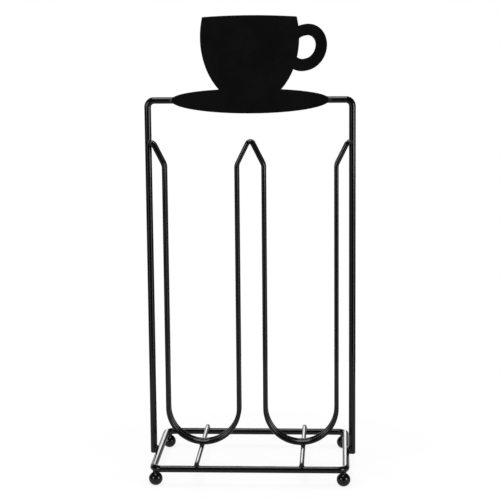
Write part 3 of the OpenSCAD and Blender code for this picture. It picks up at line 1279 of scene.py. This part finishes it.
@dataclass
class Welds(SubAssembly):
    """All weld metal on the rack."""

    base: BaseFrame
    feet: BallFeet
    arch: Arch
    rails: CapsuleRails
    emblem: Emblem
    maker: WeldMaker = field(default_factory=WeldMaker)
    neck_radius: float = 2.0 * MM
    bar_bead: float = 1.7 * MM
    rail_bead: float = 1.8 * MM
    rail_end_bead: float = 1.3 * MM
    leg_bead: float = 2.9 * MM
    tip_bead: float = 1.2 * MM
    rail_end_share: float = 0.8
    tip_rise: float = 0.25 * MM
    sharp_angle: float = 75.0

    def build(self) -> list[Piece]:
        """Grows each group of welds.

        Returns:
            A piece for each group.
        """
        groups = {
            "foot_welds": self._foot_spots(),
            "cross_bar_welds": self._bar_spots(),
            "rail_base_welds": self._rail_spots(),
            "rail_end_welds": self._rail_end_spots(),
            "arch_leg_welds": self._leg_spots(),
            "emblem_welds": self._tip_spots(),
        }
        return [
            Piece(self.maker.grow(spots).to_object(node + "_metal", self.sharp_angle), node, COATED_WELD)
            for node, spots in groups.items()
        ]

    def _foot_spots(self) -> list[WeldSpot]:
        """Places the necks between the balls and the ring.

        Returns:
            The welds.
        """
        ring = self.base.ring
        spots = []
        for middle, radius in self.feet.balls.values():
            low, high = middle[2] + radius, self.base.height - self.base.wire_radius
            at = np.array([middle[0], middle[1], (low + high) / 2])
            half = (0.0, 0.0, (high - low) / 2)
            spots.append(WeldSpot(at, (ring,), self.neck_radius, ((middle, radius),), half))
        return spots

    def _bar_spots(self) -> list[WeldSpot]:
        """Places the welds where the bars cross the ring.

        Returns:
            The welds.
        """
        height = self.base.height + self.base.wire_radius
        return [
            WeldSpot(np.array([bar.start[0], y, height]), (self.base.ring, bar), self.bar_bead)
            for bar in self.base.bars.values()
            for y in (-self.base.half_depth, self.base.half_depth)
        ]

    def _rail_spots(self) -> list[WeldSpot]:
        """Places the welds where the rails stand on the bars.

        Returns:
            The welds.
        """
        spots = []
        for bar in self.base.bars.values():
            for rail in self.rails.wires.values():
                at = np.array([bar.start[0], rail.origin[1], bar.origin[2] + bar.radius])
                spots.append(WeldSpot(at, (bar, rail), self.rail_bead))
        return spots

    def _rail_end_spots(self) -> list[WeldSpot]:
        """Places the welds between the rails' ends and the arch's legs.

        Returns:
            The welds.
        """
        spots = []
        for rail in self.rails.wires.values():
            for end in (rail.line[0], rail.line[-1]):
                leg = math.copysign(self.arch.half_width, end[0])
                at = np.array([(end[0] + leg) / 2, self.rail_end_share * end[1], end[2]])
                spots.append(WeldSpot(at, (self.arch.wire, rail), self.rail_end_bead))
        return spots

    def _leg_spots(self) -> list[WeldSpot]:
        """Places the welds between the arch's legs and the ring.

        Returns:
            The welds.
        """
        reach = self.arch.half_width - self.arch.wire_radius
        return [
            WeldSpot(np.array([x, 0.0, self.base.height]), (self.base.ring, self.arch.wire), self.leg_bead)
            for x in (-reach, reach)
        ]

    def _tip_spots(self) -> list[WeldSpot]:
        """Places the welds between the saucer's tips and the top bar.

        Returns:
            The welds.
        """
        emblem = self.emblem
        y = emblem.front + self.tip_bead - self.tip_rise
        return [
            WeldSpot(np.array([emblem.middle + x, y, self.arch.top]), (self.arch.wire,), self.tip_bead)
            for x in (-emblem.saucer_half, emblem.saucer_half)
        ]


# Studio


@dataclass(frozen=True)
class Softbox:
    """A soft lamp that shows in gloss and not to the camera."""

    name: str
    place: tuple[float, float, float]
    aim: tuple[float, float, float]
    width: float
    height: float
    radiance: float

    def hang(self) -> None:
        """Hangs the lamp and turns it to its aim."""
        lamp = bpy.data.lights.new(self.name, "AREA")
        lamp.shape = "RECTANGLE"
        lamp.size, lamp.size_y = self.width, self.height
        lamp.energy = self.radiance * math.pi * self.width * self.height
        hung = bpy.data.objects.new(self.name, lamp)
        hung.location = self.place
        hung.rotation_euler = (Vector(self.aim) - Vector(self.place)).to_track_quat("-Z", "Y").to_euler()
        hung.visible_camera = False
        bpy.context.scene.collection.objects.link(hung)
        LOG.info("%s hung at %s", self.name, self.place)


@dataclass
class Studio:
    """A round white table before a white back, a dim room in front and soft lamps round about."""

    table_radius: float = 0.36
    table_sides: int = 96
    table_drop: float = 0.05 * MM
    table_plain: float = 0.8
    table_shade: float = 0.15
    table_glow: float = 0.86
    shadow_near: float = 0.14
    shadow_far: float = 0.32
    gloss_share: float = 0.45
    back_left: float = 1.0
    back_right: float = 0.25
    back_turn: float = 0.2
    back_depth: tuple[float, float] = (0.2, 0.8)
    back_top: tuple[float, float] = (0.35, 0.6)
    ambient: float = 0.35
    room: float = 0.04
    lamps: tuple[Softbox, ...] = (
        Softbox("top_softbox", (-0.04, -0.05, 0.66), (-0.04, -0.049, 0.0), 0.32, 0.46, 4.6),
        Softbox("right_softbox", (0.71, -0.49, 0.295), (0.0, 0.0, 0.295), 0.36, 0.34, 7.0),
        Softbox("right_card", (0.71, -0.49, -0.08), (0.0, 0.0, -0.08), 0.36, 0.41, 2.0),
        Softbox("left_softbox", (-0.58, -0.69, 0.38), (0.0, 0.0, 0.38), 0.3, 0.3, 7.0),
        Softbox("left_card", (-0.58, -0.69, 0.0), (0.0, 0.0, 0.0), 0.3, 0.46, 1.2),
        Softbox("back_softbox", (-0.05, 1.5, 0.62), (0.0, 0.0, 0.1), 0.5, 0.6, 3.5),
    )

    def build(self) -> None:
        """Sets up the table, the surroundings and the lamps."""
        self._table()
        self._surroundings()
        for lamp in self.lamps:
            lamp.hang()

    def _table(self) -> None:
        """Lays the table top, which glows for the camera but keeps the object's shadow close to it."""
        rim = circle(self.table_sides) * self.table_radius
        mesh = bpy.data.meshes.new("table")
        mesh.from_pydata([(x, y, -self.table_drop) for x, y in rim], [], [tuple(range(self.table_sides))])
        table = bpy.data.objects.new("table", mesh)
        bpy.context.scene.collection.objects.link(table)
        white = bpy.data.materials.new("white_table")
        white.use_nodes = True
        tree = ShaderTree(white.node_tree)
        white.node_tree.nodes.remove(white.node_tree.nodes["Principled BSDF"])
        seen, mirrored = tree.seen_rays()
        shows = tree.math("ADD", seen, mirrored, True)
        place = tree.add("TexCoord").outputs["Object"]
        away = tree.add("VectorMath", {0: place}, operation="LENGTH").outputs["Value"]
        bright = tree.spread(away, self.shadow_near, self.shadow_far, self.table_glow, 1.0)
        glow = tree.math("MULTIPLY", bright, tree.spread(mirrored, 0.0, 1.0, 1.0, self.gloss_share))
        plain = tree.add("BsdfDiffuse", {"Color": grey(self.table_plain)})
        shade = tree.add("BsdfDiffuse", {"Color": grey(self.table_shade)})
        light = tree.add("Emission", {"Color": grey(1.0), "Strength": glow})
        shown = tree.add("AddShader", {0: shade.outputs[0], 1: light.outputs[0]})
        mixed = tree.add("MixShader", {0: shows, 1: plain.outputs[0], 2: shown.outputs[0]})
        tree.feed(white.node_tree.nodes["Material Output"].inputs["Surface"], mixed.outputs[0])
        mesh.materials.append(white)

    def _surroundings(self) -> None:
        """Makes the world white for the camera, and in gloss white behind the object and dim elsewhere."""
        world = bpy.data.worlds.new("studio")
        bpy.context.scene.world = world
        world.use_nodes = True
        tree = ShaderTree(world.node_tree)
        background = world.node_tree.nodes["Background"]
        direction = tree.add("SeparateXYZ", {"Vector": tree.add("TexCoord").outputs["Generated"]}).outputs
        seen, mirrored = tree.seen_rays()
        behind = tree.spread(direction["Y"], *self.back_depth, 0.0, 1.0)
        low = tree.spread(direction["Z"], *self.back_top, 1.0, 0.0)
        turn = self.back_turn
        white = tree.spread(direction["X"], -turn, turn, self.back_left, self.back_right)
        gloss = tree.spread(tree.math("MULTIPLY", behind, low), 0.0, 1.0, self.room, white)
        unseen = tree.spread(mirrored, 0.0, 1.0, self.ambient, gloss)
        tree.feed(background.inputs["Strength"], tree.spread(seen, 0.0, 1.0, unseen, 1.0))
        background.inputs["Color"].default_value = grey(1.0)


@dataclass
class PhotoCamera:
    """The camera, where the photograph was taken from."""

    place: tuple[float, float, float] = (67.087 * MM, -1231.289 * MM, 371.83 * MM)
    yaw: float = 3.153
    pitch: float = 9.337
    roll: float = -0.525
    focal_pixels: float = 1649.475
    image_pixels: float = 500.0
    sensor: float = 36.0

    def build(self) -> None:
        """Sets up the camera and makes it the scene's own."""
        data = bpy.data.cameras.new("photo_camera")
        data.sensor_width = self.sensor
        data.lens = self.focal_pixels * self.sensor / self.image_pixels
        camera = bpy.data.objects.new("photo_camera", data)
        turn = Matrix.Rotation(math.radians(self.yaw), 4, "Z")
        tilt = Matrix.Rotation(math.radians(90.0 - self.pitch), 4, "X")
        lean = Matrix.Rotation(math.radians(self.roll), 4, "Z")
        camera.matrix_world = Matrix.Translation(self.place) @ turn @ tilt @ lean
        bpy.context.scene.collection.objects.link(camera)
        bpy.context.scene.camera = camera


def main() -> None:
    """Builds the camera, the studio and the rack."""
    logging.basicConfig(level=logging.INFO, format="%(name)s: %(message)s")
    bpy.context.scene.view_settings.view_transform = "Standard"
    PhotoCamera().build()
    Studio().build()
    wardrobe = Wardrobe()
    base, feet, arch, rails = BaseFrame(), BallFeet(), Arch(), CapsuleRails()
    emblem = Emblem(top_bar_height=arch.top)
    welds = Welds(base, feet, arch, rails, emblem)
    for assembly in (base, feet, arch, rails, emblem, welds):
        assembly.dress(wardrobe)


if __name__ == "__main__":
    main()
